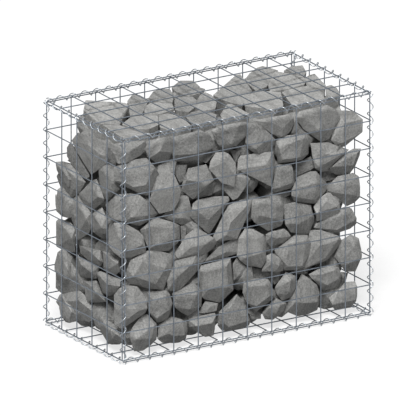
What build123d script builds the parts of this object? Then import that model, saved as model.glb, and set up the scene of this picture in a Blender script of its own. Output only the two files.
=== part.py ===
from build123d import *
import math
import os
import random
from itertools import combinations

# Driving sizes, in millimetres
MESH = 100.0
CELL_COUNT_LONG = 10
CELL_COUNT_DEEP = 5
CELL_COUNT_HIGH = 8
MESH_WIRE = 4.0
WELD_SET_DOWN = 0.4
WIRE_STUB = 1.2
PANEL_STAND_OFF = 5.2
SPIRAL_WIRE = 3.5
SPIRAL_CLEARANCE = 0.4
TURNS_PER_MESH = 2
FACING_THICKNESS = 95.0
FILL_BELOW_LID = 55.0
STONE_INSET = 14.0
STONE_CLEARANCE = 0.3
FACING_STONE_WIDTH = 150.0
FACING_STONE_HEIGHT = 125.0
STONE_JOINT_SHIFT = 28.0
STONE_RIDGE_SHIFT = 4.0
STONE_EDGE_DEPTHS = (18.0, 35.0)
STONE_BACK_SHARE = 0.6

# Few-sided sections keep the wires light, and faces this near to flat are one face
MESH_WIRE_SIDES = 4
SPIRAL_WIRE_SIDES = 3
SPIRAL_STEPS_PER_TURN = 6
FLATNESS = 1e-4

# Sizes that follow from the driving ones
LENGTH = MESH * CELL_COUNT_LONG
DEPTH = MESH * CELL_COUNT_DEEP
HEIGHT = MESH * CELL_COUNT_HIGH
MESH_WIRE_RADIUS = MESH_WIRE / 2
SPIRAL_WIRE_RADIUS = SPIRAL_WIRE / 2
INNER_LAYER = PANEL_STAND_OFF
OUTER_LAYER = PANEL_STAND_OFF + MESH_WIRE - WELD_SET_DOWN
SPIRAL_AXIS_OUT = OUTER_LAYER / 2
SPIRAL_RADIUS = SPIRAL_AXIS_OUT * math.sqrt(2) + MESH_WIRE_RADIUS + SPIRAL_CLEARANCE + SPIRAL_WIRE_RADIUS
SPIRAL_PITCH = MESH / TURNS_PER_MESH


def face_frame(origin, across, up):
    """Plane on one side of the basket, with its normal pointing out."""
    return Plane(origin=origin, x_dir=across, z_dir=Vector(*across).cross(Vector(*up)))


def side_frames(foot):
    """The six sides of the mesh box, each with its first corner, seen from outside."""
    x, y = LENGTH / 2, DEPTH / 2
    return {
        "front": face_frame((-x, -y, foot), (1, 0, 0), (0, 0, 1)),
        "back": face_frame((x, y, foot), (-1, 0, 0), (0, 0, 1)),
        "left": face_frame((-x, y, foot), (0, -1, 0), (0, 0, 1)),
        "right": face_frame((x, -y, foot), (0, 1, 0), (0, 0, 1)),
        "lid": face_frame((-x, -y, foot + HEIGHT), (1, 0, 0), (0, 1, 0)),
        "base": face_frame((-x, y, foot), (1, 0, 0), (0, -1, 0)),
    }


def bar(length):
    """A mesh wire of few sides along +X, with ridges to the front and the back of its panel."""
    section = Plane.YZ * RegularPolygon(MESH_WIRE_RADIUS, MESH_WIRE_SIDES)
    return Pos(-WIRE_STUB, 0, 0) * extrude(section, length + 2 * WIRE_STUB)


def welded_panel(cells_across, cells_up, rows_outside):
    """Welded mesh: rows in one layer and columns in the other, fused where they cross."""
    row_layer, column_layer = (OUTER_LAYER, INNER_LAYER) if rows_outside else (INNER_LAYER, OUTER_LAYER)
    row, column = bar(cells_across * MESH), Rot(0, 0, 90) * bar(cells_up * MESH)
    rows = [Pos(0, j * MESH, row_layer) * row for j in range(cells_up + 1)]
    columns = [Pos(i * MESH, 0, column_layer) * column for i in range(cells_across + 1)]
    return rows[0].fuse(*rows[1:], *columns)


def spiral(start, along, length, outward):
    """Right-handed lacing spiral along an edge, at its outermost beside each crossing wire."""
    outward = outward.normalized()
    side = along.cross(outward)
    steps = round(length / SPIRAL_PITCH * SPIRAL_STEPS_PER_TURN)
    step = length / steps
    places = [0.0] + [(k + 0.5) * step for k in range(steps)] + [length]
    points = []
    for place in places:
        turn = 2 * math.pi * place / SPIRAL_PITCH
        reach = SPIRAL_RADIUS
        if place in (0.0, length):
            reach *= math.cos(math.pi / SPIRAL_STEPS_PER_TURN)
        points.append(
            start + along * place + outward * (reach * math.cos(turn)) + side * (reach * math.sin(turn))
        )
    section = Plane(origin=points[0], z_dir=points[1] - points[0]) * RegularPolygon(
        SPIRAL_WIRE_RADIUS, SPIRAL_WIRE_SIDES
    )
    return sweep(section, path=Polyline(*points), transition=Transition.RIGHT)


def lacing_spirals(foot):
    """The twelve spirals, one along each edge of the basket, by name.

    Each axis lies as far outside one panel as the other, so that the coil passes close
    outside the edge wire in the outer layer once in every turn."""
    x, y = LENGTH / 2, DEPTH / 2
    x_out, y_out = x + SPIRAL_AXIS_OUT, y + SPIRAL_AXIS_OUT
    spirals = {}
    for face, deep in (("front", -1), ("back", 1)):
        for side, across in (("left", -1), ("right", 1)):
            start, outward = Vector(across * x_out, deep * y_out, foot), Vector(across, deep, 0)
            spirals[f"spiral_{face}_{side}"] = spiral(start, Vector(0, 0, 1), HEIGHT, outward)
    for end, floor, rise in (("base", foot, -1), ("lid", foot + HEIGHT, 1)):
        level = floor + rise * SPIRAL_AXIS_OUT
        for face, deep in (("front", -1), ("back", 1)):
            start, outward = Vector(-x, deep * y_out, level), Vector(0, deep, rise)
            spirals[f"spiral_{end}_{face}"] = spiral(start, Vector(1, 0, 0), LENGTH, outward)
        for side, across in (("left", -1), ("right", 1)):
            start, outward = Vector(across * x_out, -y, level), Vector(across, 0, rise)
            spirals[f"spiral_{end}_{side}"] = spiral(start, Vector(0, 1, 0), DEPTH, outward)
    return spirals


def convex_hull(points):
    """Faces of the convex hull, each a ring of corners, by trying each plane through three points."""
    middle = sum(points, Vector()) * (1 / len(points))
    faces = {}
    for trio in combinations(range(len(points)), 3):
        a, b, c = (points[i] for i in trio)
        normal = (b - a).cross(c - a)
        if normal.length < FLATNESS:
            continue
        normal = normal.normalized()
        if normal.dot(a - middle) < 0:
            normal = normal * -1
        heights = [normal.dot(p - a) for p in points]
        if max(heights) > FLATNESS:
            continue
        corners = frozenset(i for i, height in enumerate(heights) if height > -FLATNESS)
        faces[corners] = normal
    rings = []
    for corners, normal in faces.items():
        centre = sum((points[i] for i in corners), Vector()) * (1 / len(corners))
        across = (points[min(corners)] - centre).normalized()
        up = normal.cross(across)
        ring = sorted(
            corners, key=lambda i: math.atan2(up.dot(points[i] - centre), across.dot(points[i] - centre))
        )
        rings.append([points[i] for i in ring])
    return rings


def solid_of(rings):
    """Closed solid with one flat face on each ring of corners."""
    return Solid(Shell([Face(Wire.make_polygon(ring, close=True)) for ring in rings]))


def facing_stone(frame, outline, ridge, back_depth):
    """One angular stone: an outline at mid depth, a ridge in front of it and a smaller back."""
    u_mid = sum(u for u, v, depth in outline) / len(outline)
    v_mid = sum(v for u, v, depth in outline) / len(outline)
    back = [
        (u_mid + (u - u_mid) * STONE_BACK_SHARE, v_mid + (v - v_mid) * STONE_BACK_SHARE, back_depth)
        for u, v, depth in outline[::2]
    ]
    points = [frame.from_local_coords(Vector(u, v, -depth)) for u, v, depth in outline + ridge + back]
    return solid_of(convex_hull(points))


def packed_stones(frame, left, right, bottom, top, skin, dice):
    """A facing of stones laid in rough courses with broken joints."""
    rows = round((top - bottom) / FACING_STONE_HEIGHT)
    row_height = (top - bottom) / rows
    stones = []
    for row in range(rows):
        low = bottom + row * row_height
        high = low + row_height - STONE_CLEARANCE
        count = round((right - left) / FACING_STONE_WIDTH)
        joints = [left + (right - left) * k / count for k in range(1, count)]
        shift = STONE_JOINT_SHIFT
        joints = [left] + [joint + dice.uniform(-shift, shift) for joint in joints] + [right]
        for u0, u1 in zip(joints, joints[1:]):
            u1 -= STONE_CLEARANCE
            wide, tall = u1 - u0, high - low
            corners = [
                (u0, low + tall * dice.uniform(0.3, 0.7)),
                (u0 + wide * dice.uniform(0.1, 0.3), low),
                (u1 - wide * dice.uniform(0.1, 0.3), low),
                (u1, low + tall * dice.uniform(0.3, 0.7)),
                (u1 - wide * dice.uniform(0.1, 0.3), high),
                (u0 + wide * dice.uniform(0.1, 0.3), high),
            ]
            outline = [(u, v, skin + dice.uniform(*STONE_EDGE_DEPTHS)) for u, v in corners]
            ridge = [
                (u0 + wide * dice.uniform(0.25, 0.4), low + tall * dice.uniform(0.4, 0.6), skin),
                (
                    u0 + wide * dice.uniform(0.6, 0.75),
                    low + tall * dice.uniform(0.4, 0.6),
                    skin + STONE_RIDGE_SHIFT,
                ),
            ]
            back_depth = skin + FACING_THICKNESS - STONE_INSET
            stones.append(((low + high) / 2, facing_stone(frame, outline, ridge, back_depth)))
    return stones


def bands(name, stones, names, bottom, top):
    """Sorts a facing's stones by height into named bands."""
    nodes = {f"{name}_{band}": [] for band in names}
    for height, stone in stones:
        band = names[min(int((height - bottom) / (top - bottom) * len(names)), len(names) - 1)]
        nodes[f"{name}_{band}"].append(stone)
    return nodes


def stone_fill(frames):
    """Facing stones on five sides and the core behind them, by node name."""
    dice = random.Random(11)
    bottom = MESH_WIRE_RADIUS - INNER_LAYER + STONE_CLEARANCE
    top = HEIGHT - FILL_BELOW_LID
    edge = STONE_INSET
    three = ("lower", "middle", "upper")
    nodes = {}
    for side in ("front", "back"):
        stones = packed_stones(frames[side], edge, LENGTH - edge, bottom, top, STONE_INSET, dice)
        nodes.update(bands(f"{side}_stones", stones, three, bottom, top))
    inner = FACING_THICKNESS + STONE_CLEARANCE
    for side in ("left", "right"):
        stones = packed_stones(frames[side], inner, DEPTH - inner, bottom, top, STONE_INSET, dice)
        nodes.update(bands(f"{side}_stones", stones, ("lower", "upper"), bottom, top))
    stones = packed_stones(frames["lid"], inner, LENGTH - inner, inner, DEPTH - inner, FILL_BELOW_LID, dice)
    nodes["top_stones"] = [stone for height, stone in stones]
    core_reach = FACING_THICKNESS + STONE_CLEARANCE
    core_top = top - FACING_THICKNESS + STONE_INSET - STONE_CLEARANCE
    core = Box(LENGTH - 2 * core_reach, DEPTH - 2 * core_reach, core_top - bottom)
    foot = frames["front"].origin.Z
    nodes["core_stones"] = [Pos(0, 0, foot + (bottom + core_top) / 2) * core]
    return nodes


def gabion():
    """Every node of the filled basket by name."""
    foot = SPIRAL_AXIS_OUT + SPIRAL_RADIUS + SPIRAL_WIRE_RADIUS
    frames = side_frames(foot)
    sides = {
        "front": (CELL_COUNT_LONG, CELL_COUNT_HIGH, False),
        "back": (CELL_COUNT_LONG, CELL_COUNT_HIGH, False),
        "left": (CELL_COUNT_DEEP, CELL_COUNT_HIGH, True),
        "right": (CELL_COUNT_DEEP, CELL_COUNT_HIGH, True),
        "lid": (CELL_COUNT_LONG, CELL_COUNT_DEEP, True),
        "base": (CELL_COUNT_LONG, CELL_COUNT_DEEP, True),
    }
    nodes = {f"{name}_panel": frames[name] * welded_panel(*cells) for name, cells in sides.items()}
    nodes.update(lacing_spirals(foot))
    for name, stones in stone_fill(frames).items():
        nodes[name] = Compound(children=stones)
    return nodes


os.makedirs("parts", exist_ok=True)
for node_name, shape in gabion().items():
    export_step(shape, f"parts/{node_name}.step")
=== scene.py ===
import math
import random

import bpy
from mathutils import Euler, Matrix, Vector


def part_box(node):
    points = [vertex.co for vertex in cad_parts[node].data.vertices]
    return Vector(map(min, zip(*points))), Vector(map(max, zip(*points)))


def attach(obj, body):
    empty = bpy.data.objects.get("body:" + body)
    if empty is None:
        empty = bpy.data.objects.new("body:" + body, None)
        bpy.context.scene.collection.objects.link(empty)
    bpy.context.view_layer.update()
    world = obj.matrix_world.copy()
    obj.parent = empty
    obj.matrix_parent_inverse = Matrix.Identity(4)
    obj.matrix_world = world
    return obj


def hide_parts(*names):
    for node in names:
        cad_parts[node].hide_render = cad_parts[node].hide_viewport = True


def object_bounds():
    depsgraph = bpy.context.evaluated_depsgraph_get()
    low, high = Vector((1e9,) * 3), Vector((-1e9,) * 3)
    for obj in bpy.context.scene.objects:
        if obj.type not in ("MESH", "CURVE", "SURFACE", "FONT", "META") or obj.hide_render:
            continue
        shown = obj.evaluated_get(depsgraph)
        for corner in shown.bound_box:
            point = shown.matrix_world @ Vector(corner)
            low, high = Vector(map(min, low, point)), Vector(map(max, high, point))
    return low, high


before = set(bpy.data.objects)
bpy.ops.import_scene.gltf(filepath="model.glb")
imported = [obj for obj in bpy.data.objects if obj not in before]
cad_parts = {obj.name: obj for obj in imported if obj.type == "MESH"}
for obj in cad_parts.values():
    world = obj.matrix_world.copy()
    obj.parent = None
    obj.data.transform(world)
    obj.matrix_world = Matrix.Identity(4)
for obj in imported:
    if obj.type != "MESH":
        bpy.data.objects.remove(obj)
cad_box = [list(corner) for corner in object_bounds()]

# Wires of the basket, in metres
MESH = 0.1
WIRE_RADIUS = 0.002
WIRE_STUB = 0.0012
WIRE_END_ROUND = 0.0006
WIRE_SIDES = 12
INNER_LAYER = 0.0052
OUTER_LAYER = 0.0088
WELD_SIZE = (0.0031, 0.0031, 0.0026)
COIL_WIRE_RADIUS = 0.00175
COIL_PITCH = 0.05
COIL_AXIS_OUT = OUTER_LAYER / 2
COIL_STEPS_PER_TURN = 20
WIRE_SMOOTH_ANGLE = math.radians(40)

# Basket sizes, read from the wire panels of the frame
front_low, front_high = (Vector(corner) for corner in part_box("front_panel"))
left_low, left_high = (Vector(corner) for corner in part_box("left_panel"))
LENGTH = front_high.x - front_low.x - 2 * WIRE_RADIUS
DEPTH = left_high.y - left_low.y - 2 * WIRE_RADIUS
HEIGHT = front_high.z - front_low.z - 2 * WIRE_RADIUS
FOOT = front_low.z + WIRE_RADIUS
COIL_RADIUS = min(-cad_box[0][0] - LENGTH / 2, -cad_box[0][1] - DEPTH / 2) - COIL_AXIS_OUT - COIL_WIRE_RADIUS

# Photograph's view
PHOTO_AZIMUTH = math.radians(-31.65)
PHOTO_ELEVATION = math.radians(18.6)
PHOTO_SPAN = 1.4454
PHOTO_CENTRE_UP = 0.3763
PHOTO_CENTRE_RIGHT = -0.0007
CAMERA_AWAY = 6.0

# Stones are set out in millimetres behind the front and the left mesh
MILLIMETRE = 0.001
SIGHT_DEPTH = 30.0
# How far a line of sight moves across and up a side for each step behind its mesh
FRONT_SIGHT = (-math.tan(PHOTO_AZIMUTH), -math.tan(PHOTO_ELEVATION) / math.cos(PHOTO_AZIMUTH))
LEFT_SIGHT = (1 / math.tan(PHOTO_AZIMUTH), math.tan(PHOTO_ELEVATION) / math.sin(PHOTO_AZIMUTH))
# How far a line of sight moves across and back for each step that it drops
LID_SIGHT = (
    -math.sin(PHOTO_AZIMUTH) / math.tan(PHOTO_ELEVATION),
    math.cos(PHOTO_AZIMUTH) / math.tan(PHOTO_ELEVATION),
)
STONE_BODY = 72.0
BACK_SHARE = 0.52
BACK_LEAN = 0.6
BACK_DEPTHS = (0.8, 1.12, 0.95)
MESH_MARGIN = 9.0
LID_MARGIN = 6.0

# Top stones are read on one level, and each narrows to a foot below it
READ_LEVEL = 760.0
TOP_BODY = 95.0
TOP_FOOT_SHARE = 0.8

# Finish of the broken stone faces
STONE_EDGE_ROUND = 0.0011
FLAT_ANGLE = math.radians(13)
FLATTEN_SHARE = 0.5
FLATTEN_TURNS = 6
SHARP_ANGLE = math.radians(8)
FACE_WAVES = ((0.07, 0.0025), (0.025, 0.0012))
CUTS_PER_STONE = 11
QUARRY_STONES = 6
BREAK_REACH = (0.33, 0.42)
MERGE_WITHIN = 0.06
FACE_CUTS = 2
CORE_FACE_CUTS = 1
STONE_SEED = 7

# Tones of stone. The dark tone is also painted shade: it darkens the deep stones in the gaps and the stones
# inside
PALE = 0.8
PLAIN = 0.5
DARK_TONE_AND_SHADE = 0.3
TONE_SPREAD = 0.12

# Stones behind the front mesh: across from the left corner, up from the base, and depth. The places were
# read from the photograph, and the depths are estimates, here and in the next two tables
# Rows in the dark tone are deep stones in the gaps, darkened as painted shade
FRONT_STONES = (
    # Upper stones
    (PLAIN, (-20, 750, 78), (48, 748, 35), (113, 777, 40), (-3, 712, 70), (30, 706, 45), (90, 724, 45),
     (106, 739, 45), (49, 788, 130), (-53, 750, 150), (-53, 790, 150)),
    (PLAIN, (102, 748, 45), (118, 775, 55), (183, 776, 40), (222, 772, 50), (227, 748, 45), (219, 714, 40),
     (203, 684, 60), (149, 687, 60), (125, 709, 35), (178, 748, 22), (167, 726, 20)),
    (PLAIN, (221, 770, 50), (283, 775, 50), (330, 776, 45), (372, 752, 40), (393, 712, 45), (372, 697, 40),
     (320, 666, 45), (222, 678, 60), (219, 703, 35), (318, 748, 22), (318, 690, 18), (232, 742, 28)),
    (PLAIN, (375, 765, 50), (391, 738, 40), (404, 708, 40), (430, 690, 42), (478, 690, 42), (508, 709, 45),
     (526, 722, 48), (530, 765, 50), (497, 776, 50), (400, 776, 52), (456, 702, 22), (495, 762, 28),
     (410, 750, 24)),
    (DARK_TONE_AND_SHADE, (340, 700, 75), (402, 700, 72), (400, 684, 68), (358, 650, 65), (318, 664, 70)),
    (PLAIN, (0, 700, 60), (70, 718, 40), (114, 710, 40), (148, 672, 25), (166, 645, 45), (163, 617, 50),
     (139, 579, 55), (112, 572, 50), (83, 586, 45), (30, 625, 50), (-20, 652, 85), (-20, 700, 90),
     (108, 612, 20), (60, 614, 22), (20, 640, 30)),
    (PALE, (160, 677, 60), (205, 680, 60), (220, 652, 50), (250, 580, 28), (254, 560, 28), (247, 533, 35),
     (222, 501, 40), (165, 497, 42), (124, 552, 40), (133, 570, 38), (150, 592, 24)),
    (DARK_TONE_AND_SHADE, (220, 668, 65), (278, 659, 60), (270, 600, 55), (246, 596, 60), (226, 640, 65)),
    (PLAIN, (283, 645, 45), (356, 645, 50), (368, 615, 35), (388, 583, 35), (355, 567, 25), (278, 602, 28),
     (256, 590, 45), (257, 565, 50), (288, 540, 50), (303, 524, 60), (330, 585, 22)),
    (DARK_TONE_AND_SHADE, (304, 526, 72), (382, 527, 72), (392, 576, 68), (340, 560, 62)),
    (PALE, (371, 655, 45), (396, 681, 45), (430, 679, 40), (450, 668, 35), (477, 628, 25), (478, 586, 20),
     (472, 543, 32), (421, 562, 35), (392, 594, 35), (366, 628, 40), (430, 640, 18)),
    (DARK_TONE_AND_SHADE, (452, 680, 72), (500, 672, 72), (482, 640, 64), (478, 625, 66)),
    (PALE, (484, 640, 45), (496, 653, 45), (550, 649, 45), (577, 632, 35), (614, 635, 35), (629, 646, 35),
     (641, 603, 48), (633, 558, 45), (621, 517, 45), (597, 528, 40), (538, 563, 30), (484, 602, 32),
     (600, 602, 18), (618, 570, 22)),
    (PALE, (421, 546, 60), (465, 494, 50), (484, 499, 50), (530, 546, 45), (537, 561, 40), (500, 598, 45),
     (479, 578, 35)),
    (PLAIN, (525, 767, 50), (550, 763, 50), (582, 747, 40), (615, 716, 30), (637, 688, 32), (638, 670, 45),
     (616, 636, 45), (580, 631, 45), (522, 676, 45), (515, 697, 40), (530, 731, 35), (560, 730, 22),
     (600, 690, 18), (560, 665, 22)),
    (PLAIN, (548, 775, 50), (694, 770, 50), (712, 753, 45), (717, 733, 50), (700, 706, 50), (680, 691, 45),
     (652, 690, 40), (620, 712, 35), (584, 750, 40), (670, 722, 22), (668, 693, 30), (640, 745, 20)),
    (PLAIN, (722, 752, 45), (738, 774, 50), (850, 776, 50), (890, 750, 45), (902, 718, 40), (891, 686, 45),
     (858, 652, 45), (828, 641, 50), (806, 668, 40), (783, 684, 35), (752, 704, 40), (757, 745, 25),
     (850, 745, 18), (815, 690, 20), (868, 680, 28)),
    (PLAIN, (701, 696, 60), (719, 742, 55), (735, 722, 48), (756, 698, 48), (748, 688, 55)),
    (PLAIN, (640, 683, 40), (687, 691, 40), (759, 686, 38), (776, 661, 38), (777, 620, 45), (774, 609, 50),
     (746, 593, 50), (652, 595, 50), (634, 645, 50), (655, 650, 22), (667, 607, 20), (737, 603, 22),
     (757, 672, 20)),
    (DARK_TONE_AND_SHADE, (752, 701, 75), (800, 680, 75), (812, 646, 70), (778, 650, 66)),
    (PALE, (780, 648, 40), (808, 646, 42), (857, 638, 42), (880, 621, 40), (939, 597, 45), (914, 577, 50),
     (852, 534, 55), (825, 534, 50), (801, 552, 40), (790, 586, 35), (818, 553, 25), (905, 583, 25),
     (840, 600, 18)),
    (PALE, (885, 748, 60), (925, 744, 60), (957, 733, 50), (997, 699, 22), (999, 675, 20), (996, 652, 25),
     (950, 625, 40), (921, 609, 45), (882, 623, 45), (866, 643, 45), (892, 679, 35), (905, 712, 35),
     (920, 696, 20), (915, 625, 25)),
    (PLAIN, (915, 581, 45), (956, 597, 45), (987, 593, 35), (995, 569, 40), (963, 529, 45), (935, 503, 60),
     (897, 506, 60), (855, 534, 50), (870, 545, 35), (958, 535, 22), (975, 582, 22)),
    (DARK_TONE_AND_SHADE, (815, 535, 75), (855, 531, 75), (905, 503, 75), (870, 495, 70), (835, 497, 70)),
    (PLAIN, (646, 594, 45), (700, 588, 42), (712, 566, 35), (718, 524, 40), (720, 508, 50), (703, 494, 55),
     (633, 494, 55), (625, 507, 45), (636, 556, 40), (658, 508, 20), (708, 515, 25), (660, 575, 20)),
    (DARK_TONE_AND_SHADE, (622, 478, 65), (635, 491, 60), (700, 491, 60), (702, 474, 60), (672, 466, 60)),
    (DARK_TONE_AND_SHADE, (722, 585, 65), (750, 591, 62), (785, 600, 62), (799, 556, 58), (782, 548, 60), (728, 537, 65)),
    # Middle stones
    (PLAIN, (728, 534, 45), (781, 546, 45), (805, 541, 42), (828, 500, 40), (853, 486, 45), (846, 462, 50),
     (802, 421, 50), (783, 422, 50), (718, 442, 50), (703, 470, 42), (705, 490, 40), (722, 505, 40),
     (740, 495, 24), (805, 497, 20), (800, 435, 25), (730, 458, 22)),
    (PLAIN, (855, 482, 45), (892, 506, 48), (956, 509, 45), (978, 493, 38), (988, 452, 30), (984, 414, 35),
     (963, 397, 45), (932, 391, 50), (905, 409, 48), (872, 449, 45), (855, 463, 48), (935, 475, 18),
     (950, 430, 18), (905, 440, 25)),
    (PALE, (815, 441, 45), (848, 453, 45), (864, 453, 45), (900, 408, 35), (901, 382, 30), (898, 361, 40),
     (806, 357, 45), (800, 385, 38), (794, 412, 42), (845, 425, 20), (890, 398, 18), (808, 384, 20)),
    (PLAIN, (546, 484, 45), (611, 477, 42), (650, 458, 38), (670, 438, 38), (672, 402, 38), (670, 375, 40),
     (662, 365, 45), (608, 356, 50), (577, 379, 45), (553, 397, 42), (538, 417, 45), (543, 460, 42),
     (575, 465, 22), (640, 440, 20), (640, 395, 18), (575, 420, 22)),
    (PALE, (425, 456, 42), (448, 480, 45), (500, 491, 50), (540, 484, 50), (541, 466, 45), (532, 434, 40),
     (512, 390, 40), (480, 350, 45), (430, 352, 45), (393, 355, 42), (388, 372, 40), (404, 415, 40),
     (455, 415, 20), (505, 450, 24), (440, 370, 22)),
    (PLAIN, (300, 513, 55), (320, 522, 60), (390, 524, 60), (446, 510, 55), (452, 498, 45), (418, 455, 40),
     (400, 423, 42), (368, 388, 48), (351, 400, 45), (312, 445, 42), (290, 466, 45), (298, 492, 35),
     (312, 488, 25), (430, 488, 22), (365, 440, 18)),
    (PLAIN, (255, 550, 60), (281, 547, 60), (295, 506, 50), (286, 468, 48), (297, 450, 55), (284, 441, 60),
     (255, 442, 60), (200, 467, 62), (172, 487, 65), (262, 500, 45), (262, 465, 42)),
    (PLAIN, (-20, 593, 85), (0, 598, 70), (50, 594, 50), (84, 582, 40), (122, 552, 35), (160, 500, 60),
     (140, 488, 60), (128, 479, 55), (84, 467, 55), (25, 494, 50), (-20, 511, 85), (116, 548, 25),
     (118, 500, 22), (50, 505, 25), (95, 490, 30), (-57, 569, 140), (-36, 523, 110)),
    (PALE, (-22, 497, 80), (14, 493, 50), (50, 469, 40), (82, 451, 38), (98, 430, 38), (112, 378, 35),
     (108, 366, 42), (50, 357, 48), (10, 362, 55), (-22, 388, 85), (40, 450, 20), (95, 395, 18),
     (30, 385, 25), (-5, 440, 45), (-43, 475, 120), (-46, 421, 120)),
    (PLAIN, (85, 453, 55), (132, 482, 45), (160, 483, 45), (222, 459, 42), (249, 440, 42), (248, 392, 42),
     (244, 380, 48), (205, 355, 50), (172, 359, 48), (122, 374, 45), (115, 395, 50), (102, 428, 55),
     (128, 455, 24), (225, 435, 22), (235, 395, 22), (150, 385, 22)),
    (DARK_TONE_AND_SHADE, (252, 438, 62), (276, 438, 62), (277, 405, 60), (272, 366, 56), (254, 366, 60)),
    (PALE, (224, 340, 55), (254, 362, 50), (277, 402, 45), (318, 420, 45), (357, 386, 38), (390, 371, 35),
     (400, 352, 45), (385, 330, 60), (338, 309, 60), (321, 327, 30), (240, 320, 45), (290, 350, 25),
     (350, 352, 22)),
    (PLAIN, (228, 315, 45), (316, 320, 42), (333, 294, 45), (328, 267, 48), (298, 243, 48), (250, 203, 50),
     (222, 203, 48), (200, 213, 42), (196, 245, 40), (220, 282, 32), (240, 300, 24), (300, 290, 20),
     (235, 250, 18)),
    (PLAIN, (44, 349, 50), (73, 358, 50), (118, 372, 48), (147, 369, 45), (205, 347, 45), (221, 333, 48),
     (217, 283, 42), (194, 236, 45), (180, 218, 50), (118, 229, 50), (48, 263, 50), (27, 283, 50),
     (33, 317, 40), (60, 290, 22), (190, 295, 18), (150, 240, 25), (95, 335, 22)),
    (PLAIN, (372, 312, 55), (405, 334, 50), (480, 342, 50), (508, 370, 60), (520, 340, 62), (505, 300, 52),
     (470, 291, 50), (337, 286, 60), (440, 310, 40)),
    (PALE, (482, 318, 50), (490, 352, 48), (514, 384, 45), (550, 375, 42), (592, 346, 40), (599, 330, 45),
     (594, 316, 40), (601, 250, 40), (582, 224, 48), (518, 245, 48), (494, 268, 45), (480, 290, 50),
     (520, 345, 24), (565, 335, 22), (585, 280, 20), (520, 275, 22)),
    (PLAIN, (599, 347, 50), (622, 353, 50), (674, 354, 50), (690, 340, 48), (702, 321, 48), (674, 300, 55),
     (617, 298, 55), (600, 318, 50), (645, 322, 28), (625, 335, 30)),
    (PLAIN, (675, 442, 45), (718, 445, 45), (783, 420, 42), (791, 402, 40), (799, 372, 42), (796, 357, 48),
     (773, 315, 55), (752, 318, 55), (702, 335, 50), (679, 368, 42), (675, 390, 42), (720, 366, 22),
     (730, 358, 20), (788, 378, 25), (735, 415, 20)),
    (PLAIN, (903, 390, 45), (928, 390, 45), (950, 379, 42), (971, 341, 35), (968, 320, 42), (946, 303, 50),
     (893, 299, 50), (822, 329, 48), (794, 337, 50), (803, 348, 50), (900, 358, 40), (925, 362, 22),
     (955, 330, 20), (890, 310, 28)),
    (PLAIN, (780, 329, 50), (822, 325, 48), (880, 298, 42), (900, 287, 40), (912, 266, 48), (893, 243, 52),
     (850, 208, 52), (800, 195, 50), (760, 193, 50), (754, 202, 48), (803, 264, 35), (783, 292, 40),
     (774, 305, 45), (895, 275, 24), (845, 215, 28), (820, 265, 20)),
    (PLAIN, (702, 320, 55), (722, 325, 55), (770, 312, 50), (782, 290, 45), (800, 270, 50), (756, 200, 52),
     (722, 193, 50), (676, 200, 50), (675, 228, 48), (661, 248, 48), (634, 277, 50), (688, 306, 50),
     (690, 295, 25), (765, 295, 20), (748, 205, 25), (690, 210, 25)),
    # Lower stones
    (PLAIN, (905, 272, 48), (946, 285, 45), (978, 265, 40), (997, 210, 25), (1000, 192, 28), (966, 144, 45),
     (928, 150, 48), (917, 160, 45), (903, 182, 42), (880, 213, 50), (930, 215, 22), (965, 240, 18),
     (935, 178, 20), (985, 190, 20)),
    (PLAIN, (602, 268, 50), (625, 275, 50), (660, 247, 45), (672, 227, 45), (671, 200, 50), (650, 198, 50),
     (582, 213, 55), (603, 243, 42), (625, 235, 25), (655, 222, 22), (640, 205, 28)),
    (DARK_TONE_AND_SHADE, (464, 262, 60), (480, 282, 65), (517, 246, 55), (531, 200, 60), (468, 200, 60), (490, 215, 48)),
    (PLAIN, (333, 280, 50), (378, 285, 50), (456, 285, 50), (458, 252, 40), (466, 200, 40), (469, 165, 45),
     (420, 131, 50), (408, 128, 50), (352, 151, 48), (340, 163, 45), (324, 242, 45), (328, 262, 42),
     (340, 250, 24), (440, 255, 20), (445, 180, 20), (365, 185, 22)),
    (PALE, (-20, 232, 80), (2, 254, 60), (30, 260, 50), (74, 248, 45), (98, 220, 38), (114, 186, 32),
     (116, 160, 30), (109, 143, 45), (50, 118, 52), (12, 103, 58), (-20, 122, 85), (30, 130, 25),
     (75, 155, 20), (20, 225, 35), (60, 215, 22)),
    (PLAIN, (114, 221, 55), (178, 217, 52), (196, 211, 50), (208, 196, 45), (220, 160, 42), (213, 130, 48),
     (196, 101, 58), (152, 100, 58), (139, 120, 48), (119, 148, 42), (119, 185, 45), (155, 115, 25),
     (205, 140, 22), (190, 190, 22), (135, 190, 28)),
    (PLAIN, (216, 200, 55), (256, 205, 52), (300, 221, 58), (328, 205, 55), (339, 186, 45), (339, 160, 42),
     (337, 128, 45), (300, 110, 50), (283, 104, 50), (257, 116, 48), (229, 143, 45), (222, 168, 45),
     (255, 185, 22), (318, 175, 20), (290, 125, 22)),
    (PALE, (338, 125, 55), (352, 147, 55), (406, 127, 50), (399, 100, 48), (350, 99, 50), (322, 106, 58),
     (375, 120, 42)),
    (PLAIN, (284, 88, 50), (300, 96, 55), (392, 96, 50), (396, 86, 38), (394, 34, 42), (386, 13, 48),
     (352, 12, 50), (318, 34, 48), (285, 64, 55), (318, 58, 24), (380, 60, 25)),
    (PLAIN, (56, 105, 50), (95, 139, 55), (113, 140, 55), (134, 122, 48), (153, 98, 45), (158, 75, 42),
     (152, 40, 45), (132, 22, 50), (98, 2, 50), (62, 10, 50), (48, 48, 48), (43, 75, 50), (145, 92, 24),
     (135, 45, 22), (70, 55, 25)),
    (PLAIN, (161, 91, 55), (187, 96, 50), (212, 113, 55), (252, 99, 50), (280, 79, 45), (282, 54, 48),
     (273, 23, 55), (250, 9, 58), (226, 8, 58), (175, 23, 58), (157, 42, 55), (200, 52, 24), (228, 38, 24),
     (268, 35, 30), (200, 85, 28), (262, 85, 24)),
    (PLAIN, (402, 72, 50), (408, 96, 50), (480, 148, 50), (499, 127, 45), (517, 90, 38), (539, 40, 42),
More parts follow.
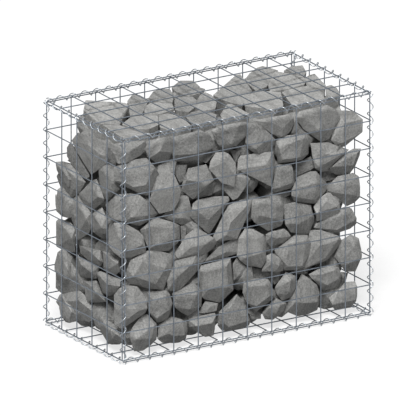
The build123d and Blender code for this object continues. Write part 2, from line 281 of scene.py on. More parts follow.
     (532, 24, 52), (502, 16, 55), (455, 16, 58), (420, 24, 58), (403, 46, 55), (430, 50, 28),
     (450, 32, 25), (530, 42, 24), (470, 115, 22), (420, 85, 28)),
    (PLAIN, (503, 150, 50), (509, 189, 52), (550, 196, 52), (607, 180, 48), (620, 164, 42), (640, 115, 40),
     (618, 98, 48), (560, 67, 50), (548, 82, 45), (521, 108, 42), (530, 165, 25), (600, 160, 22),
     (615, 115, 20), (560, 90, 25)),
    (PLAIN, (641, 152, 50), (681, 192, 52), (695, 188, 50), (720, 172, 48), (730, 150, 48), (718, 122, 45),
     (701, 97, 48), (666, 90, 50), (645, 116, 42), (636, 142, 45), (675, 150, 22), (700, 160, 24),
     (695, 115, 22)),
    (PLAIN, (692, 90, 55), (722, 112, 45), (745, 174, 55), (772, 159, 50), (810, 123, 45), (820, 92, 42),
     (817, 55, 45), (808, 32, 55), (772, 20, 60), (728, 22, 60), (684, 48, 62), (755, 145, 28),
     (720, 75, 30), (765, 65, 20), (810, 60, 28), (790, 110, 24)),
    (PLAIN, (775, 167, 48), (808, 181, 50), (863, 186, 48), (895, 174, 45), (908, 148, 42), (904, 117, 45),
     (890, 98, 50), (836, 97, 50), (812, 121, 45), (786, 150, 45), (835, 160, 22), (880, 165, 22),
     (895, 130, 24), (850, 115, 22)),
    (DARK_TONE_AND_SHADE, (908, 154, 60), (937, 146, 60), (925, 112, 65), (906, 102, 65), (915, 130, 52)),
    (PALE, (893, 94, 50), (925, 116, 55), (963, 110, 50), (974, 90, 35), (974, 55, 32), (967, 34, 42),
     (947, 15, 55), (880, 20, 58), (862, 40, 52), (858, 66, 45), (895, 88, 28), (965, 85, 24),
     (965, 42, 25), (872, 38, 30)),
    (PLAIN, (585, 60, 52), (618, 95, 52), (642, 105, 52), (683, 80, 48), (673, 53, 48), (652, 38, 50),
     (628, 29, 52), (597, 34, 52), (588, 50, 50), (615, 75, 26), (660, 75, 24), (640, 45, 26)),
    (DARK_TONE_AND_SHADE, (520, 87, 65), (548, 81, 65), (580, 62, 65), (580, 40, 65), (543, 43, 65)),
    (DARK_TONE_AND_SHADE, (540, 235, 75), (580, 222, 75), (618, 199, 72), (600, 183, 72), (536, 197, 74)),
    (DARK_TONE_AND_SHADE, (623, 190, 72), (670, 192, 72), (650, 163, 70), (633, 155, 70)),
    (DARK_TONE_AND_SHADE, (825, 92, 74), (888, 92, 74), (870, 67, 72), (850, 67, 72)),
    (DARK_TONE_AND_SHADE, (703, 190, 68), (750, 196, 68), (773, 172, 66), (735, 176, 62)),
)

# Stones behind the left mesh: across from the back corner, up from the base, and depth. The last corner of
# the second stone wasn't read: it is a guess, hidden behind the first stone
LEFT_STONES = (
    (PALE, (155, 730, 38), (212, 742, 38), (333, 739, 38), (349, 700, 35), (336, 667, 35), (290, 640, 32),
     (240, 597, 32), (142, 650, 30), (112, 690, 34), (215, 700, 18), (300, 690, 16)),
    (DARK_TONE_AND_SHADE, (100, 680, 40), (75, 652, 36), (75, 620, 36), (102, 601, 38), (150, 590, 38), (198, 569, 38),
     (228, 588, 38), (150, 640, 34), (140, 610, 30), (200, 640, 60)),
    (PLAIN, (57, 587, 36), (105, 600, 40), (165, 580, 42), (203, 561, 42), (158, 510, 38), (128, 489, 40),
     (93, 464, 42), (50, 471, 38), (24, 503, 32), (8, 528, 26), (36, 562, 30), (80, 570, 22),
     (140, 555, 20), (120, 510, 20)),
    (PLAIN, (232, 573, 38), (275, 594, 38), (290, 558, 36), (328, 535, 38), (320, 523, 42), (290, 502, 42),
     (256, 472, 44), (230, 464, 42), (196, 472, 38), (158, 506, 36), (205, 542, 34), (240, 548, 20),
     (285, 530, 20), (225, 490, 20)),
    (PLAIN, (284, 634, 38), (322, 662, 38), (370, 673, 42), (415, 680, 48), (425, 600, 42), (400, 579, 40),
     (357, 541, 40), (335, 534, 42), (300, 553, 42), (303, 580, 34), (320, 630, 20), (380, 610, 20),
     (345, 560, 20)),
    (PALE, (0, 458, 24), (48, 470, 34), (95, 464, 40), (102, 421, 36), (70, 407, 36), (12, 400, 26),
     (0, 420, 24), (40, 440, 20), (75, 425, 22)),
    (PLAIN, (100, 462, 42), (142, 500, 44), (158, 503, 45), (238, 460, 42), (240, 402, 38), (215, 372, 40),
     (155, 336, 44), (122, 372, 40), (103, 400, 36), (150, 450, 20), (210, 430, 18), (160, 370, 22)),
    (PALE, (243, 458, 40), (276, 480, 42), (310, 500, 45), (340, 470, 45), (345, 430, 42), (335, 408, 42),
     (285, 397, 44), (247, 390, 44), (262, 448, 20), (305, 423, 18)),
    (PLAIN, (6, 362, 26), (25, 376, 32), (100, 387, 42), (130, 370, 42), (137, 335, 40), (130, 282, 44),
     (60, 269, 38), (2, 268, 26), (0, 330, 24), (60, 350, 20), (110, 330, 20)),
    (PLAIN, (158, 318, 45), (212, 328, 42), (300, 335, 42), (315, 300, 40), (300, 280, 44), (215, 278, 44),
     (165, 290, 45), (225, 315, 22), (290, 300, 22)),
    (DARK_TONE_AND_SHADE, (145, 278, 45), (215, 275, 42), (290, 276, 44), (262, 250, 38), (272, 225, 42), (225, 210, 44),
     (148, 200, 46), (170, 250, 22), (240, 240, 20)),
    (PALE, (315, 342, 42), (350, 348, 42), (430, 346, 48), (432, 300, 42), (400, 276, 44), (338, 268, 46),
     (318, 283, 42), (350, 330, 20), (410, 322, 20), (360, 290, 22)),
    (PLAIN, (0, 205, 25), (60, 230, 36), (100, 242, 40), (138, 225, 42), (148, 190, 40), (188, 165, 46),
     (150, 149, 44), (128, 134, 44), (46, 103, 36), (5, 117, 26), (0, 150, 24), (60, 200, 20),
     (130, 195, 20)),
    (PLAIN, (192, 195, 42), (273, 223, 42), (300, 187, 40), (336, 162, 44), (292, 143, 46), (198, 118, 46),
     (193, 150, 40), (225, 185, 20), (280, 180, 18), (250, 145, 22)),
    (PLAIN, (272, 248, 42), (300, 264, 44), (352, 262, 42), (434, 272, 46), (430, 243, 42), (400, 213, 42),
     (357, 187, 44), (315, 187, 44), (289, 216, 40), (300, 235, 18), (350, 230, 16), (345, 200, 22)),
    (PALE, (28, 102, 34), (128, 128, 44), (157, 151, 44), (190, 147, 44), (200, 118, 46), (250, 119, 50),
     (297, 99, 52), (246, 76, 48), (218, 51, 50), (150, 44, 50), (104, 39, 50), (24, 54, 32), (4, 66, 26),
     (150, 110, 22), (70, 80, 28)),
    (PLAIN, (278, 55, 46), (293, 96, 44), (336, 100, 44), (432, 90, 50), (455, 60, 50), (428, 30, 50),
     (370, 8, 50), (348, 10, 50), (300, 38, 46), (330, 70, 24), (400, 60, 22), (380, 40, 24)),
)

# The back leaves out these of the front's stones: at its two top corners and where the skyline dips
BACK_GAP_STONES = (0, 2, 21)
# The right side leaves out stones that come this near the front corner
RIGHT_CORNER_CLEAR = 40.0

# Stones on top: across and back as seen on the reading level, and the estimated height
TOP_STONES = (
    (PALE, (188, 554, 790), (236, 524, 788), (294, 464, 783), (283, 424, 775), (177, 319, 758),
     (150, 264, 740), (94, 306, 745), (111, 395, 768), (127, 470, 775), (67, 379, 735)),
    (PALE, (99, 295, 752), (147, 259, 752), (166, 198, 752), (173, 121, 748), (121, 118, 745),
     (79, 116, 742), (84, 198, 748)),
    (PLAIN, (311, 478, 775), (365, 529, 778), (377, 504, 775), (377, 444, 768), (321, 394, 762),
     (275, 322, 755), (232, 335, 750)),
    (PLAIN, (389, 464, 768), (438, 514, 774), (473, 526, 777), (502, 508, 775), (478, 439, 768),
     (428, 370, 760), (397, 411, 762)),
    (PLAIN, (517, 521, 780), (580, 568, 790), (619, 544, 790), (607, 480, 782), (581, 418, 772),
     (514, 402, 765), (503, 466, 770)),
    (PALE, (326, 391, 760), (367, 414, 764), (395, 404, 764), (425, 364, 762), (401, 315, 758),
     (327, 290, 754), (281, 318, 755)),
    (PALE, (158, 266, 752), (229, 322, 758), (278, 313, 758), (316, 283, 757), (267, 199, 752),
     (209, 171, 748), (169, 202, 750)),
    (PALE, (317, 283, 756), (356, 286, 760), (382, 228, 760), (355, 123, 752), (304, 105, 748),
     (264, 115, 748), (257, 177, 752)),
    (PLAIN, (446, 387, 765), (495, 415, 770), (527, 394, 768), (509, 320, 762), (470, 302, 760),
     (425, 258, 756), (398, 303, 757)),
    (DARK_TONE_AND_SHADE, (390, 223, 755), (433, 253, 760), (477, 254, 762), (496, 186, 758), (447, 116, 750),
     (395, 120, 750), (358, 120, 748)),
    (PALE, (553, 392, 765), (590, 415, 768), (592, 375, 766), (572, 309, 762), (523, 240, 758),
     (474, 242, 757), (473, 300, 760)),
    (PALE, (595, 373, 760), (645, 420, 765), (695, 439, 768), (777, 517, 780), (794, 514, 780),
     (748, 400, 770), (734, 337, 765), (657, 271, 758), (622, 222, 752), (595, 295, 754)),
    (PLAIN, (783, 464, 775), (826, 508, 782), (881, 545, 788), (907, 551, 790), (920, 521, 788),
     (928, 482, 785), (850, 408, 772), (803, 353, 765), (744, 331, 758), (767, 431, 770)),
    (PALE, (876, 449, 780), (918, 480, 787), (934, 456, 787), (971, 383, 785), (954, 337, 780),
     (927, 304, 775), (852, 293, 770), (787, 305, 766), (806, 351, 770)),
    (PLAIN, (944, 471, 792), (986, 496, 794), (1030, 485, 794), (1002, 414, 790), (973, 382, 786),
     (954, 429, 788)),
    (PALE, (965, 365, 782), (994, 383, 785), (1017, 383, 785), (1011, 337, 782), (986, 260, 772),
     (961, 226, 768), (924, 262, 768), (927, 290, 772)),
    (PLAIN, (977, 245, 772), (1002, 250, 774), (1003, 214, 772), (980, 158, 765), (965, 138, 762),
     (900, 121, 758), (929, 175, 762)),
    (PALE, (815, 273, 766), (839, 287, 768), (918, 282, 770), (937, 254, 770), (932, 187, 764),
     (897, 123, 757), (857, 191, 760), (791, 216, 758), (770, 131, 750)),
    (PALE, (651, 261, 757), (728, 327, 765), (760, 321, 766), (787, 305, 766), (812, 275, 766),
     (783, 221, 760), (744, 147, 752), (692, 121, 748), (662, 168, 752), (629, 218, 754)),
    (PALE, (506, 180, 755), (583, 260, 760), (599, 257, 760), (603, 176, 756), (597, 130, 750),
     (549, 110, 747), (480, 124, 750)),
)

# Stones inside, seen only through the gaps between the outer ones, all in the dark tone as painted shade
CORE_COUNT = (8, 3, 6)
CORE_REACH = (0.39, 0.13)
CORE_LOW = 0.07
CORE_HIGH = 0.655
CORE_SIZE = 0.136
CORE_SHIFT = 0.012
CORE_STRETCH = (0.95, 1.15)

# Steel finishes: dull colour, bright colour and roughness
MESH_STEEL = ((0.13, 0.152, 0.178), (0.24, 0.265, 0.30), 0.42)
COIL_STEEL = ((0.22, 0.24, 0.262), (0.42, 0.445, 0.47), 0.34)

# Stone finish: fineness and detail of each pattern, with its roughness where it isn't even
CLOUD = (14, 3)
MOTTLE = (150, 4, 0.6)
GRAIN = (520, 3, 0.6)
BEDDING = (1, 3)
BEDDING_STRETCH = (18, 18, 170)
STONE_COLOURS = (
    (0.0, (0.105, 0.105, 0.103)),
    (0.45, (0.275, 0.275, 0.267)),
    (0.7, (0.369, 0.367, 0.356)),
    (1.0, (0.527, 0.524, 0.51)),
)

# Studio
WHITE = (1, 1, 1, 1)
FLOOR_SIZE = 80
FLOOR_GAP = 0.0003
FLOOR_GREY = (0.3, 0.3, 0.3, 1)
FLOOR_GLOW = 0.72
LIGHT_AROUND = 0.26
LAMP_PLACE = (-2, -3, 5)
LAMP_FROM = (-0.38, -0.47, 0.8)
LAMP_STRENGTH = 3.4
LAMP_WIDTH = math.radians(20)
CAMERA_REACH = 200

# Shares of the height at which the bands of stones change
THREE_BANDS = (("lower", 0.345), ("middle", 0.67), ("upper", 2.0))
TWO_BANDS = (("lower", 0.5), ("upper", 2.0))


def take(thing):
    """Makes one object the only selected one and the active one."""
    bpy.ops.object.select_all(action="DESELECT")
    thing.select_set(True)
    bpy.context.view_layer.objects.active = thing


def edit_all(thing):
    """Opens one object for editing with all of it selected."""
    take(thing)
    bpy.ops.object.mode_set(mode="EDIT")
    bpy.ops.mesh.select_all(action="SELECT")


def close_edit():
    """Ends the editing of an object."""
    bpy.ops.object.mode_set(mode="OBJECT")


def settle():
    """Writes the active object's place into its mesh."""
    bpy.ops.object.transform_apply(location=True, rotation=True, scale=True)


def apply_all(thing):
    """Applies every modifier in turn."""
    take(thing)
    for modifier in list(thing.modifiers):
        bpy.ops.object.modifier_apply(modifier=modifier.name)


def join(things, name):
    """Joins objects into one, under the name."""
    take(things[0])
    for thing in things[1:]:
        thing.select_set(True)
    bpy.ops.object.join()
    joined = bpy.context.object
    joined.name = name
    joined.data.name = name
    return joined


def repeat(thing, step, count):
    """Copies a shape along a step, inside its own mesh."""
    array = thing.modifiers.new("spacing", "ARRAY")
    array.use_relative_offset = False
    array.use_constant_offset = True
    array.constant_offset_displace = step
    array.count = count
    apply_all(thing)


def finish_piece(piece, material, node, angle):
    """Smooths a piece, gives it its finish and ties it to the frame."""
    take(piece)
    bpy.ops.object.shade_smooth_by_angle(angle=angle)
    piece.data.materials.clear()
    piece.data.materials.append(material)
    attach(piece, "root")
    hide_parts(node)


def side_place(origin, across, up):
    """Matrix from a side's own across, up and outward directions to the basket."""
    across = Vector(across)
    up = Vector(up)
    turn = Matrix((across, up, across.cross(up))).transposed().to_4x4()
    return Matrix.Translation(origin) @ turn


def side_places():
    """Where each side of the mesh box has its first corner, seen from outside."""
    x, y, top = LENGTH / 2, DEPTH / 2, FOOT + HEIGHT
    return {
        "front": side_place((-x, -y, FOOT), (1, 0, 0), (0, 0, 1)),
        "back": side_place((x, y, FOOT), (-1, 0, 0), (0, 0, 1)),
        "left": side_place((-x, y, FOOT), (0, -1, 0), (0, 0, 1)),
        "right": side_place((x, -y, FOOT), (0, 1, 0), (0, 0, 1)),
        "lid": side_place((-x, -y, top), (1, 0, 0), (0, 1, 0)),
        "base": side_place((-x, y, FOOT), (1, 0, 0), (0, -1, 0)),
    }


def straight_wires(length, step, count, layer):
    """Like wires a mesh apart, along X where they step along Y and along Y where they step along X."""
    along_x = step[0] == 0
    turn = (0, math.pi / 2, 0) if along_x else (math.pi / 2, 0, 0)
    middle = (length / 2, 0, layer) if along_x else (0, length / 2, layer)
    bpy.ops.object.select_all(action="DESELECT")
    bpy.ops.mesh.primitive_cylinder_add(
        vertices=WIRE_SIDES, radius=WIRE_RADIUS, depth=length + 2 * WIRE_STUB, location=middle, rotation=turn
    )
    wire = bpy.context.object
    settle()
    bpy.ops.object.mode_set(mode="EDIT")
    bpy.ops.mesh.select_mode(type="EDGE")
    bpy.ops.mesh.select_all(action="DESELECT")
    close_edit()
    axis = 0 if along_x else 1
    corners = wire.data.vertices
    for edge in wire.data.edges:
        first, second = (corners[index].co[axis] for index in edge.vertices)
        edge.select = abs(first - second) < WIRE_RADIUS
    bpy.ops.object.mode_set(mode="EDIT")
    bpy.ops.mesh.bevel(offset=WIRE_END_ROUND, segments=2, affect="EDGES")
    close_edit()
    repeat(wire, step, count)
    return wire


def welds(cells_across, cells_up):
    """A small bead of fused metal at each crossing."""
    bpy.ops.object.select_all(action="DESELECT")
    middle = (INNER_LAYER + OUTER_LAYER) / 2
    bpy.ops.mesh.primitive_ico_sphere_add(subdivisions=2, radius=1, location=(0, 0, middle), scale=WELD_SIZE)
    bead = bpy.context.object
    settle()
    repeat(bead, (MESH, 0, 0), cells_across + 1)
    repeat(bead, (0, MESH, 0), cells_up + 1)
    return bead


def wire_panel(name, cells_across, cells_up, rows_outside, place, material):
    """One welded mesh panel of round wires."""
    row_layer, column_layer = (OUTER_LAYER, INNER_LAYER) if rows_outside else (INNER_LAYER, OUTER_LAYER)
    rows = straight_wires(cells_across * MESH, (0, MESH, 0), cells_up + 1, row_layer)
    columns = straight_wires(cells_up * MESH, (MESH, 0, 0), cells_across + 1, column_layer)
    panel = join([rows, columns, welds(cells_across, cells_up)], f"{name}_mesh")
    panel.matrix_world = place
    take(panel)
    settle()
    finish_piece(panel, material, f"{name}_panel", WIRE_SMOOTH_ANGLE)


def coil(name, start, along, length, outward, material):
    """One right-handed lacing spiral of round wire along an edge."""
    along = Vector(along)
    outward = Vector(outward).normalized()
    side = along.cross(outward)
    steps = round(length / COIL_PITCH * COIL_STEPS_PER_TURN)
    curve = bpy.data.curves.new(name, "CURVE")
    curve.dimensions = "3D"
    line = curve.splines.new("POLY")
    line.points.add(steps)
    for index, point in enumerate(line.points):
        place = length * index / steps
        turn = 2 * math.pi * place / COIL_PITCH
        reach = outward * math.cos(turn) + side * math.sin(turn)
        point.co = (*(Vector(start) + along * place + reach * COIL_RADIUS), 1)
    curve.bevel_depth = COIL_WIRE_RADIUS
    curve.bevel_resolution = 3
    curve.use_fill_caps = True
    spiral = bpy.data.objects.new(name, curve)
    bpy.context.collection.objects.link(spiral)
    take(spiral)
    bpy.ops.object.convert(target="MESH")
    finish_piece(bpy.context.object, material, f"spiral_{name}", WIRE_SMOOTH_ANGLE)


def lacing(material):
    """The twelve spirals, one along each edge of the basket."""
    x, y = LENGTH / 2, DEPTH / 2
    x_out, y_out = x + COIL_AXIS_OUT, y + COIL_AXIS_OUT
    for face, deep in (("front", -1), ("back", 1)):
        for side, across in (("left", -1), ("right", 1)):
            start = (across * x_out, deep * y_out, FOOT)
            coil(f"{face}_{side}", start, (0, 0, 1), HEIGHT, (across, deep, 0), material)
    for end, rise in (("base", -1), ("lid", 1)):
        level = FOOT + (HEIGHT if rise > 0 else 0) + rise * COIL_AXIS_OUT
        for face, deep in (("front", -1), ("back", 1)):
            coil(f"{end}_{face}", (-x, deep * y_out, level), (1, 0, 0), LENGTH, (0, deep, rise), material)
        for side, across in (("left", -1), ("right", 1)):
            coil(f"{end}_{side}", (across * x_out, -y, level), (0, 1, 0), DEPTH, (across, 0, rise), material)


def mark_stone(stone, tone, dice):
    """Gives every point of a stone its tone, which is painted shade for the dark stones in gaps and inside,
    and its place along the stone's own bedding.
    """
    points = stone.data.vertices
    tones = stone.data.attributes.new("tone", "FLOAT", "POINT")
    tones.data.foreach_set("value", [tone] * len(points))
    turn = Euler([dice.uniform(0, math.pi) for axis in range(3)]).to_matrix()
    beds = stone.data.attributes.new("bedding", "FLOAT_VECTOR", "POINT")
    beds.data.foreach_set("vector", [value for point in points for value in turn @ point.co])


def break_edges(stone, cuts):
    """Rounds a stone's edges a little and divides its faces, so that they can be made uneven."""
    edit_all(stone)
    bpy.ops.mesh.dissolve_limited(angle_limit=FLAT_ANGLE)
    bpy.ops.mesh.select_all(action="SELECT")
    bpy.ops.mesh.face_make_planar(factor=FLATTEN_SHARE, repeat=FLATTEN_TURNS)
    bpy.ops.mesh.select_all(action="SELECT")
    bpy.ops.mesh.bevel(offset=STONE_EDGE_ROUND, segments=1, affect="EDGES", clamp_overlap=True)
    bpy.ops.mesh.select_all(action="SELECT")
    bpy.ops.mesh.quads_convert_to_tris()
    bpy.ops.mesh.subdivide(number_cuts=cuts)
    bpy.ops.mesh.normals_make_consistent(inside=False)
    close_edit()


def hull_stone(corners, tone, dice):
    """An angular stone stretched tight over its corners."""
    mesh = bpy.data.meshes.new("stone")
    mesh.from_pydata(corners, [], [])
    stone = bpy.data.objects.new("stone", mesh)
    bpy.context.collection.objects.link(stone)
    edit_all(stone)
    bpy.ops.mesh.convex_hull(join_triangles=False)
    close_edit()
    break_edges(stone, FACE_CUTS)
    mark_stone(stone, tone, dice)
    return stone


def stone_corners(corners, sight, width, place):
    """A stone's corners in the basket: each on its line of sight at its depth, and a smaller back."""
    near = [
        (u + sight[0] * (depth - SIGHT_DEPTH), v + sight[1] * (depth - SIGHT_DEPTH), depth)
        for u, v, depth in corners
    ]
    u_mid, v_mid, depth_mid = (sum(values) / len(near) for values in zip(*near))
    u_back = u_mid + sight[0] * BACK_LEAN * STONE_BODY
    v_back = v_mid + sight[1] * BACK_LEAN * STONE_BODY
    back = []
    for index, (u, v, depth) in enumerate(near[::2]):
        behind = depth_mid + STONE_BODY * BACK_DEPTHS[index % len(BACK_DEPTHS)]
        back.append((u_back + (u - u_mid) * BACK_SHARE, v_back + (v - v_mid) * BACK_SHARE, behind))
    top = HEIGHT / MILLIMETRE - LID_MARGIN
    points = []
    for u, v, depth in near + back:
        inside = Vector((min(max(u, MESH_MARGIN), width - MESH_MARGIN), min(max(v, 0), top), -depth))
        points.append(place @ (inside * MILLIMETRE))
    return points


def uneven(piece):
    """Makes the broken faces of a group of stones wavy and a little rough."""
    for scale, strength in FACE_WAVES:
        waves = bpy.data.textures.new(f"waves_{scale}", "CLOUDS")
        waves.noise_scale = scale
        waves.noise_depth = 2
        displace = piece.modifiers.new("waves", "DISPLACE")
        displace.texture = waves
        displace.texture_coords = "LOCAL"
        displace.strength = strength
        displace.mid_level = 0.5
        apply_all(piece)


def finish_stones(stones, name, node, material):
    """Joins stones into one piece with uneven faces."""
    piece = join(stones, name)
    uneven(piece)
    finish_piece(piece, material, node, SHARP_ANGLE)


def facing(side, rows, sight, width, place, bands, dice, material):
    """The outer stones of one side, in bands by height."""
    groups = {band: [] for band, share in bands}
    for tone, *corners in rows:
        middle = sum(v for u, v, depth in corners) / len(corners)
        band = next(name for name, share in bands if middle * MILLIMETRE < share * HEIGHT)
        points = stone_corners(corners, sight, width, place)
        groups[band].append(hull_stone(points, tone + dice.uniform(-TONE_SPREAD, TONE_SPREAD), dice))
    for band, stones in groups.items():
        finish_stones(stones, f"{side}_rocks_{band}", f"{side}_stones_{band}", material)


def cut_stone(dice):
    """A stone about one unit across, cut from a ball by flat breaks."""
    bpy.ops.object.select_all(action="DESELECT")
    bpy.ops.mesh.primitive_ico_sphere_add(subdivisions=2, radius=0.5)
    stone = bpy.context.object
    for cut in range(CUTS_PER_STONE):
        away = Vector((dice.gauss(0, 1), dice.gauss(0, 1), dice.gauss(0, 1))).normalized()
        edit_all(stone)
        bpy.ops.mesh.bisect(
            plane_co=away * dice.uniform(*BREAK_REACH), plane_no=away, use_fill=True, clear_outer=True
        )
        close_edit()
    edit_all(stone)
    bpy.ops.mesh.remove_doubles(threshold=MERGE_WITHIN)
    bpy.ops.mesh.select_all(action="SELECT")
    bpy.ops.mesh.convex_hull(join_triangles=False)
    close_edit()
    return stone


def placed_copy(model, centre, size, dice, tone, cuts):
    """A copy of a quarry stone, turned, stretched to its size and set in its place."""
    copy = model.copy()
    copy.data = model.data.copy()
    bpy.context.collection.objects.link(copy)
    turn = Matrix.Rotation(dice.uniform(0, 2 * math.pi), 4, "Z") @ Matrix.Rotation(
        dice.choice((0, math.pi / 2, math.pi)), 4, "X"
    )
    stretch = Matrix.Diagonal((*size, 1))
    copy.data.transform(Matrix.Translation(centre) @ stretch @ turn)
    break_edges(copy, cuts)
    mark_stone(copy, tone, dice)
    return copy


def top_corners(corners):
    """A top stone's corners in the basket: each on its line of sight at its height, and a smaller foot."""
    upper = [
        (x - LID_SIGHT[0] * (z - READ_LEVEL), y - LID_SIGHT[1] * (z - READ_LEVEL), z)
        for x, y, z in corners
    ]
    x_mid, y_mid, z_mid = (sum(values) / len(upper) for values in zip(*upper))
    foot = [
        (x_mid + (x - x_mid) * TOP_FOOT_SHARE, y_mid + (y - y_mid) * TOP_FOOT_SHARE, z_mid - TOP_BODY)
        for x, y, z in upper
    ]
    right, back = (size / MILLIMETRE - MESH_MARGIN for size in (LENGTH, DEPTH))
    start = Vector((-LENGTH / 2, -DEPTH / 2, FOOT))
    return [
        start + Vector((min(max(x, MESH_MARGIN), right), min(max(y, MESH_MARGIN), back), z)) * MILLIMETRE
        for x, y, z in upper + foot
    ]


def top_stones(dice, material):
    """The stones that lie on top, a little under the lid."""
    stones = [
        hull_stone(top_corners(corners), tone + dice.uniform(-TONE_SPREAD, TONE_SPREAD), dice)
        for tone, *corners in TOP_STONES
    ]
    finish_stones(stones, "top_rocks", "top_stones", material)


def core_stones(quarry, dice, material):
    """The stones inside the basket, all darkened with the dark tone as painted shade."""
    across, deep, high = CORE_COUNT
    stones = []
    for i in range(across):
        for j in range(deep):
            for k in range(high):
                spread = Vector((
                    CORE_REACH[0] * (2 * i / (across - 1) - 1),
                    CORE_REACH[1] * (2 * j / (deep - 1) - 1),
                    FOOT + CORE_LOW + (CORE_HIGH - CORE_LOW) * k / (high - 1),
                ))
                shift = Vector([dice.uniform(-CORE_SHIFT, CORE_SHIFT) for axis in range(3)])
                size = [CORE_SIZE * dice.uniform(*CORE_STRETCH) for axis in range(3)]
                model = quarry[dice.randrange(len(quarry))]
                # The dark tone paints the shade that lies on the stones inside
                stones.append(placed_copy(model, spread + shift, size, dice, DARK_TONE_AND_SHADE, CORE_FACE_CUTS))
    finish_stones(stones, "core_rocks", "core_stones", material)


def add_node(tree, kind, **values):
    """A shader node with some of its settings or input values."""
    node = tree.nodes.new(kind)
    for name, value in values.items():
        if hasattr(node, name):
            setattr(node, name, value)
        else:
            node.inputs[name.replace("_", " ").title()].default_value = value
    return node


def noise(tree, coordinates, scale, detail, roughness=0.5):
    """A noise pattern's value."""
    node = add_node(tree, "ShaderNodeTexNoise", Scale=scale, Detail=detail, Roughness=roughness)
    tree.links.new(coordinates, node.inputs["Vector"])
    return node.outputs["Fac"]


def weighted(tree, value, weight, base):
    """base + (value - 0.5) * weight, where base is a value or a plain number."""
    centred = add_node(tree, "ShaderNodeMath", operation="SUBTRACT")
    centred.inputs[1].default_value = 0.5
    tree.links.new(value, centred.inputs[0])
    total = add_node(tree, "ShaderNodeMath", operation="MULTIPLY_ADD")
    total.inputs[1].default_value = weight
    tree.links.new(centred.outputs[0], total.inputs[0])
    if isinstance(base, float):
        total.inputs[2].default_value = base
    else:
        tree.links.new(base, total.inputs[2])
    return total.outputs[0]


def colour_ramp(tree, value, colours):
    """Colours over a value, from (place, colour) pairs."""
    node = tree.nodes.new("ShaderNodeValToRGB")
    ramp = node.color_ramp
    while len(ramp.elements) < len(colours):
        ramp.elements.new(0.5)
    for element, (place, colour) in zip(ramp.elements, colours):
        element.position = place
        element.color = (*colour, 1)
    tree.links.new(value, node.inputs["Fac"])
    return node.outputs["Color"]


def bump(tree, height, distance, strength, under=None):
    """A bumped surface direction."""
    node = add_node(tree, "ShaderNodeBump", Strength=strength, Distance=distance)
    tree.links.new(height, node.inputs["Height"])
    if under is not None:
        tree.links.new(under, node.inputs["Normal"])
    return node.outputs["Normal"]


def new_material(name):
    """A material with one shader, and the object's own coordinates."""
    material = bpy.data.materials.new(name)
    material.use_nodes = True
    tree = material.node_tree
    shader = tree.nodes["Principled BSDF"]
    place = tree.nodes.new("ShaderNodeTexCoord").outputs["Object"]
    return material, tree, shader, place


def stone_material():
    """Matt grey quarried stone with fine grain, faint bedding lines and a tone for each stone; the dark tone
    is painted shade on the stones in the gaps and inside.
    """
    material, tree, shader, place = new_material("quarried_grey_stone")
    tone = add_node(tree, "ShaderNodeAttribute", attribute_name="tone").outputs["Fac"]
    beds = add_node(tree, "ShaderNodeAttribute", attribute_name="bedding").outputs["Vector"]
    layers = add_node(tree, "ShaderNodeMapping")
    layers.inputs["Scale"].default_value = BEDDING_STRETCH
    tree.links.new(beds, layers.inputs["Vector"])
    cloud = noise(tree, place, *CLOUD)
    mottle = noise(tree, place, *MOTTLE)
    grain = noise(tree, place, *GRAIN)
    bedding = noise(tree, layers.outputs["Vector"], *BEDDING)
    value = weighted(tree, tone, 0.45, 0.5)
    for pattern, weight in ((cloud, 0.3), (mottle, 1.1), (grain, 0.9), (bedding, 0.6)):
        value = weighted(tree, pattern, weight, value)
    tree.links.new(colour_ramp(tree, value, STONE_COLOURS), shader.inputs["Base Color"])
    shader.inputs["Roughness"].default_value = 0.92
    shader.inputs["Specular IOR Level"].default_value = 0.25
    normal = bump(tree, mottle, distance=0.003, strength=0.7)
    normal = bump(tree, bedding, distance=0.001, strength=0.4, under=normal)
    normal = bump(tree, grain, distance=0.0009, strength=0.6, under=normal)
    tree.links.new(normal, shader.inputs["Normal"])
    return material


def steel_material(name, dull, bright, roughness):
    """Zinc-coated steel wire with a faint mottled bloom."""
    material, tree, shader, place = new_material(name)
    bloom = noise(tree, place, 60, 4, 0.6)
    spots = noise(tree, place, 420, 2)
    value = weighted(tree, spots, 0.4, bloom)
    tree.links.new(colour_ramp(tree, value, ((0.25, dull), (0.75, bright))), shader.inputs["Base Color"])
    tree.links.new(weighted(tree, bloom, 0.35, roughness), shader.inputs["Roughness"])
    shader.inputs["Metallic"].default_value = 1.0
    tree.links.new(bump(tree, spots, distance=0.00015, strength=0.5), shader.inputs["Normal"])
    return material


def seen_directly(tree):
    """1 for what the camera, a mirror or glass sees, and 0 for light on the object."""
    path = tree.nodes.new("ShaderNodeLightPath")
    value = path.outputs["Is Camera Ray"]
    for name in ("Is Glossy Ray", "Is Transmission Ray"):
        either = add_node(tree, "ShaderNodeMath", operation="MAXIMUM")
        tree.links.new(value, either.inputs[0])
        tree.links.new(path.outputs[name], either.inputs[1])
        value = either.outputs[0]
    return value


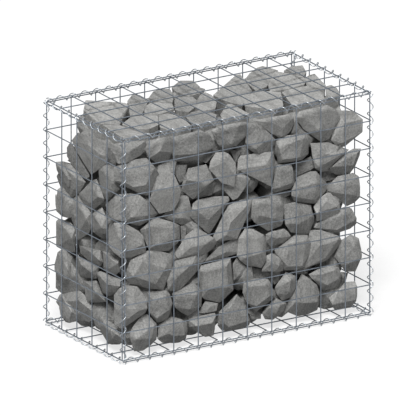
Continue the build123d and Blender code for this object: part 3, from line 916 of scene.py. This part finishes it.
def studio_floor():
    """A pale floor that keeps the basket's shadow."""
    bpy.ops.object.select_all(action="DESELECT")
    bpy.ops.mesh.primitive_plane_add(size=FLOOR_SIZE, location=(0, 0, cad_box[0][2] - FLOOR_GAP))
    floor = bpy.context.object
    floor.name = "studio_floor"
    material = bpy.data.materials.new("studio_floor")
    material.use_nodes = True
    tree = material.node_tree
    tree.nodes.remove(tree.nodes["Principled BSDF"])
    bounce = add_node(tree, "ShaderNodeBsdfDiffuse", Color=FLOOR_GREY)
    shadowed = add_node(tree, "ShaderNodeBsdfDiffuse", Color=FLOOR_GREY)
    glow = add_node(tree, "ShaderNodeEmission", Color=WHITE, Strength=FLOOR_GLOW)
    pale = tree.nodes.new("ShaderNodeAddShader")
    tree.links.new(shadowed.outputs[0], pale.inputs[0])
    tree.links.new(glow.outputs[0], pale.inputs[1])
    mix = tree.nodes.new("ShaderNodeMixShader")
    tree.links.new(seen_directly(tree), mix.inputs[0])
    tree.links.new(bounce.outputs[0], mix.inputs[1])
    tree.links.new(pale.outputs[0], mix.inputs[2])
    tree.links.new(mix.outputs[0], tree.nodes["Material Output"].inputs["Surface"])
    floor.data.materials.append(material)


def studio_light():
    """Soft even light, with a broad lamp from above the front."""
    world = bpy.data.worlds.new("studio")
    bpy.context.scene.world = world
    world.use_nodes = True
    tree = world.node_tree
    around = tree.nodes["Background"]
    around.inputs["Color"].default_value = WHITE
    around.inputs["Strength"].default_value = LIGHT_AROUND
    white = add_node(tree, "ShaderNodeBackground", Color=WHITE, Strength=1.0)
    mix = tree.nodes.new("ShaderNodeMixShader")
    tree.links.new(seen_directly(tree), mix.inputs[0])
    tree.links.new(around.outputs[0], mix.inputs[1])
    tree.links.new(white.outputs[0], mix.inputs[2])
    tree.links.new(mix.outputs[0], tree.nodes["World Output"].inputs["Surface"])
    bpy.ops.object.light_add(type="SUN", location=LAMP_PLACE)
    lamp = bpy.context.object
    lamp.rotation_euler = Vector(LAMP_FROM).to_track_quat("Z", "Y").to_euler()
    lamp.data.energy = LAMP_STRENGTH
    lamp.data.angle = LAMP_WIDTH


def photo_camera():
    """The photograph's view, without perspective."""
    data = bpy.data.cameras.new("photo_view")
    data.type = "ORTHO"
    data.ortho_scale = PHOTO_SPAN
    data.clip_end = CAMERA_REACH
    camera = bpy.data.objects.new("photo_view", data)
    bpy.context.collection.objects.link(camera)
    camera.rotation_euler = (math.pi / 2 - PHOTO_ELEVATION, 0, PHOTO_AZIMUTH)
    right, up, back = camera.rotation_euler.to_matrix().transposed()
    middle = Vector((0, 0, FOOT)) + right * PHOTO_CENTRE_RIGHT + up * PHOTO_CENTRE_UP
    camera.location = middle + back * CAMERA_AWAY
    bpy.context.scene.camera = camera


def basket():
    """Panels and lacing of round steel wire."""
    places = side_places()
    mesh_steel = steel_material("galvanised_mesh_wire", *MESH_STEEL)
    coil_steel = steel_material("bright_spiral_wire", *COIL_STEEL)
    cells_long, cells_deep, cells_high = (round(size / MESH) for size in (LENGTH, DEPTH, HEIGHT))
    panels = {
        "front": (cells_long, cells_high, False),
        "back": (cells_long, cells_high, False),
        "left": (cells_deep, cells_high, True),
        "right": (cells_deep, cells_high, True),
        "lid": (cells_long, cells_deep, True),
        "base": (cells_long, cells_deep, True),
    }
    for name, cells in panels.items():
        wire_panel(name, *cells, places[name], mesh_steel)
    lacing(coil_steel)


def stone_fill():
    """All the stones in the basket."""
    dice = random.Random(STONE_SEED)
    stone = stone_material()
    places = side_places()
    length, depth = LENGTH / MILLIMETRE, DEPTH / MILLIMETRE
    back_rows = [row for index, row in enumerate(FRONT_STONES) if index not in BACK_GAP_STONES]
    right_rows = [
        (tone, *corners)
        for tone, *corners in LEFT_STONES
        if min(u for u, v, corner_depth in corners) > RIGHT_CORNER_CLEAR
    ]
    facing("front", FRONT_STONES, FRONT_SIGHT, length, places["front"], THREE_BANDS, dice, stone)
    facing("back", back_rows, FRONT_SIGHT, length, places["back"], THREE_BANDS, dice, stone)
    facing("left", LEFT_STONES, LEFT_SIGHT, depth, places["left"], TWO_BANDS, dice, stone)
    facing("right", right_rows, LEFT_SIGHT, depth, places["right"], TWO_BANDS, dice, stone)
    quarry = [cut_stone(dice) for number in range(QUARRY_STONES)]
    top_stones(dice, stone)
    core_stones(quarry, dice, stone)
    for model in quarry:
        bpy.data.objects.remove(model)


bpy.context.scene.view_settings.view_transform = "Standard"
photo_camera()
studio_floor()
studio_light()
basket()
stone_fill()
